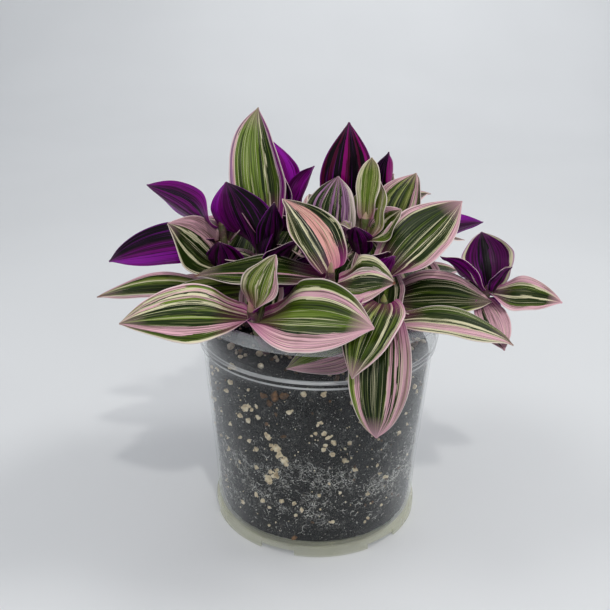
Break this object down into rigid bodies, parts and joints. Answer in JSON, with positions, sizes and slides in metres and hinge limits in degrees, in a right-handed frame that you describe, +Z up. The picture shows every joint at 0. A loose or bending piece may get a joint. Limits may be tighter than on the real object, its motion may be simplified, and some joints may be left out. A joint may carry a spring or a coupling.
{
  "type": "potted tradescantia",
  "caption": "Bushy tradescantia with striped green, pink and purple leaves, growing in soil in a clear tapered nursery pot that stands on a footed rim.",
  "frame": {"origin": "on the floor under the pot's centre: the middle of the ring that its feet stand on", "axes": "+Z up along the pot's axis; -Y faces the viewer of the plant's front; +X to the viewer's right, the plant's widest direction"},
  "size_m": [0.2052, 0.1506, 0.1945],
  "materials": {
    "clear_plastic": "clear, slightly hazy moulded plastic",
    "potting_soil": "loose dark potting mix with pale perlite grains",
    "stem": "smooth succulent stem, satin",
    "leaf": "waxy leaf, satin, striped green, cream and pink above and purple below"
  },
  "bodies": {
    "root": {"leaf_01": "leaf", "leaf_02": "leaf", "leaf_03": "leaf", "leaf_04": "leaf", "leaf_05": "leaf", "leaf_06": "leaf", "leaf_07": "leaf", "leaf_08": "leaf", "leaf_10": "leaf", "leaf_11": "leaf", "leaf_12": "leaf", "leaf_13": "leaf", "leaf_14": "leaf", "leaf_15": "leaf", "leaf_16": "leaf", "leaf_17": "leaf", "leaf_18": "leaf", "leaf_19": "leaf", "leaf_20": "leaf", "leaf_21": "leaf", "leaf_22": "leaf", "leaf_23": "leaf", "leaf_24": "leaf", "leaf_25": "leaf", "leaf_26": "leaf", "leaf_27": "leaf", "leaf_28": "leaf", "leaf_29": "leaf", "leaf_30": "leaf", "leaf_31": "leaf", "leaf_32": "leaf", "leaf_33": "leaf", "leaf_34": "leaf", "leaf_35": "leaf", "leaf_36": "leaf", "leaf_37": "leaf", "leaf_38": "leaf", "leaf_40": "leaf", "leaf_41": "leaf", "leaf_42": "leaf", "leaf_43": "leaf", "leaf_44": "leaf", "leaf_45": "leaf", "leaf_46": "leaf", "pot": "clear_plastic", "soil": "potting_soil", "stem_back_left": "stem", "stem_back_right": "stem", "stem_centre_back": "stem", "stem_centre_front": "stem", "stem_centre_mid": "stem", "stem_centre_right": "stem", "stem_front_left": "stem", "stem_front_right": "stem", "stem_left": "stem", "stem_left_tall": "stem", "stem_right": "stem", "stem_right_back": "stem", "stem_right_trailing": "stem"}
  },
  "joints": []
}
